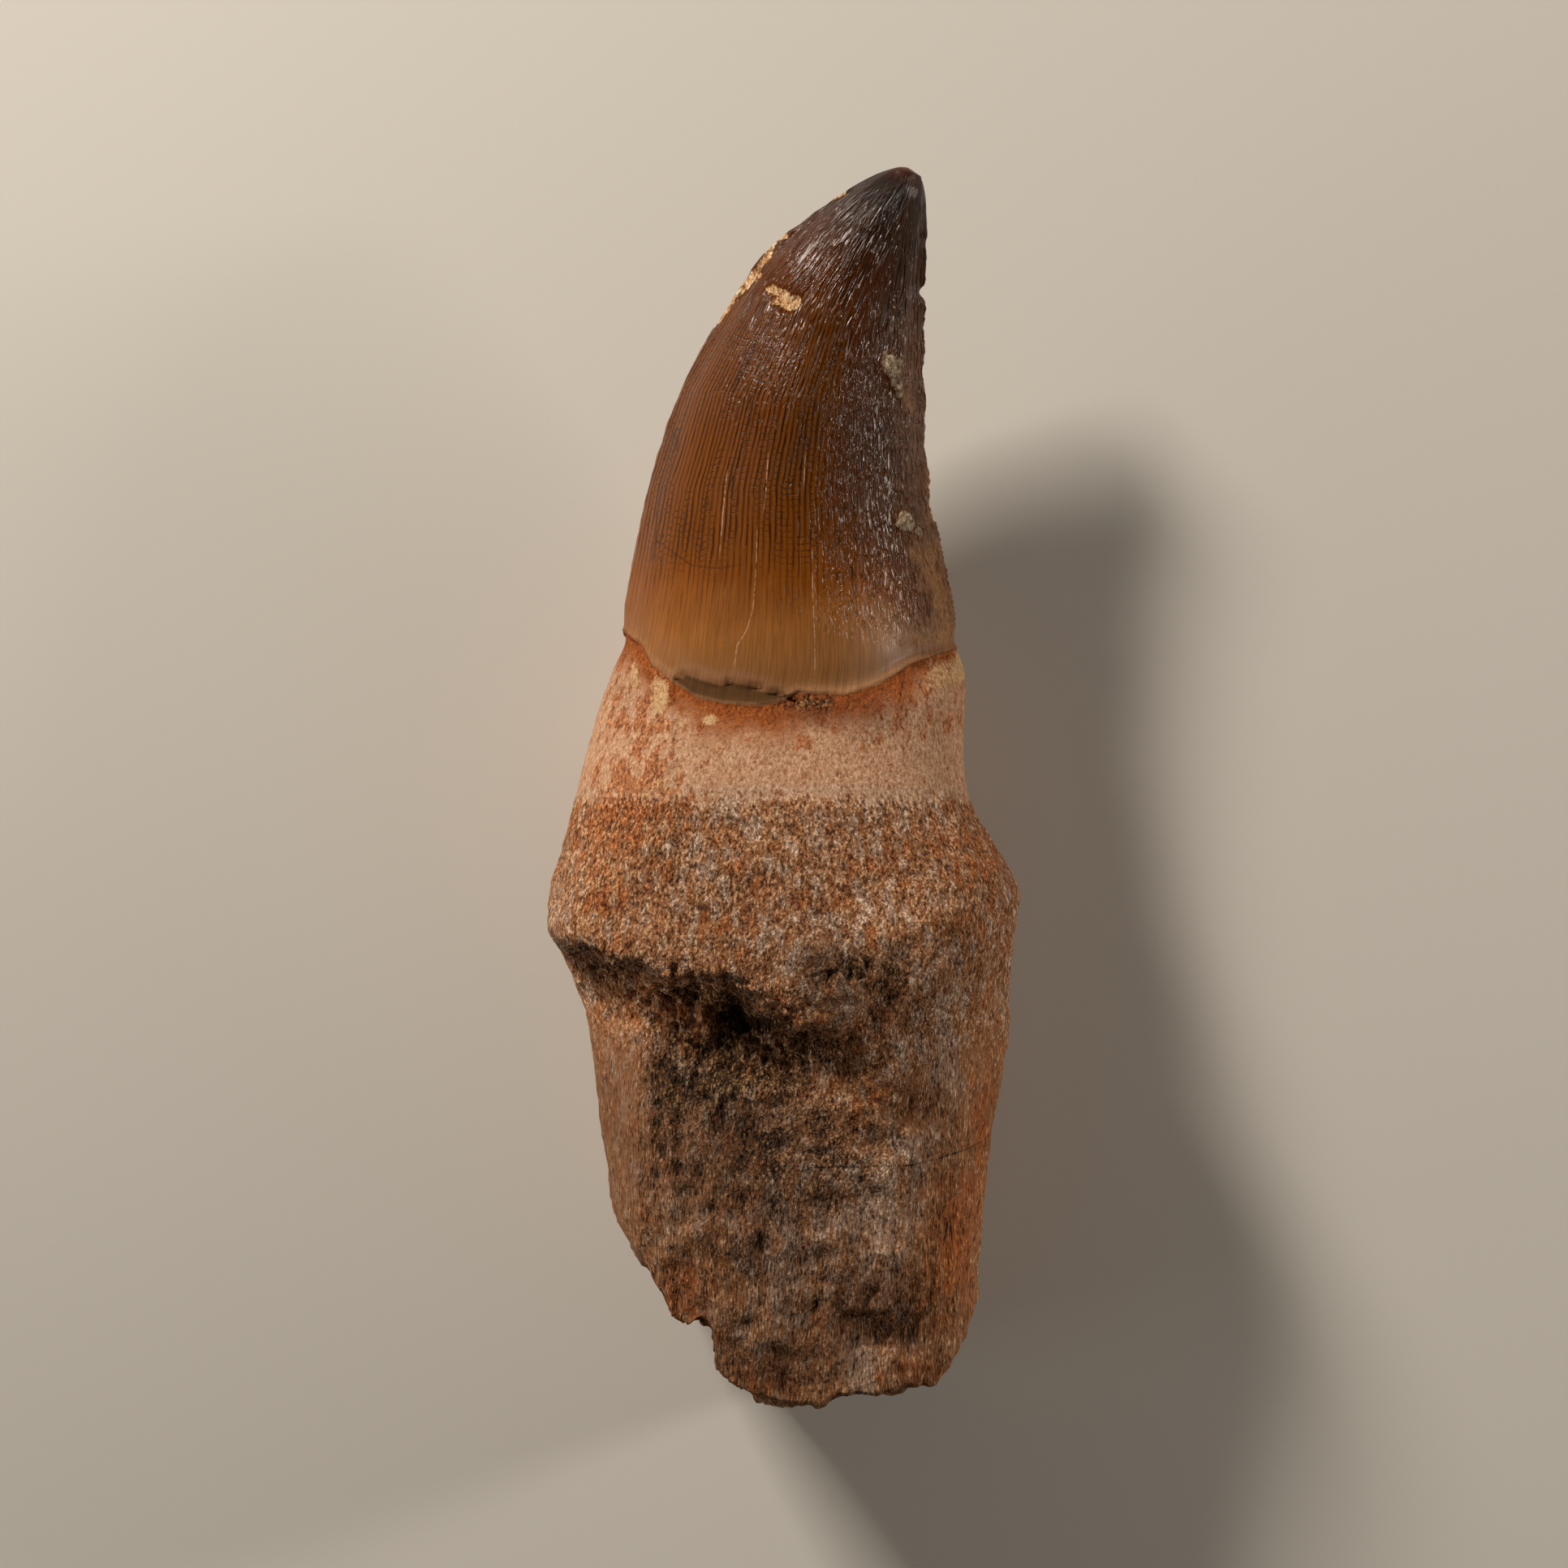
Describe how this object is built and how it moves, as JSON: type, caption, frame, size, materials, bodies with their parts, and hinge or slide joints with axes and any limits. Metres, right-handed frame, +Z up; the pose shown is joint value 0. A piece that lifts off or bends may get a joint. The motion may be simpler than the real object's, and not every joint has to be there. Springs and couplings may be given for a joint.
{
  "type": "fossil mosasaur tooth",
  "caption": "Recurved fossil reptile tooth with a glossy ridged crown, a sandy neck and a swollen bony root that is broken off at its end.",
  "frame": {"origin": "under the middle of the tooth, on the surface that it lies on", "axes": "+X to the right across the tooth as the picture shows it, +Y along it from the broken root end to the crown's tip, +Z up out of the surface that it lies on"},
  "size_m": [0.0464, 0.1207, 0.0391],
  "materials": {
    "fossil": "rough bone and sand, with a glossy brown enamel crown"
  },
  "bodies": {
    "root": {"mosasaur_tooth": "fossil"}
  },
  "joints": []
}
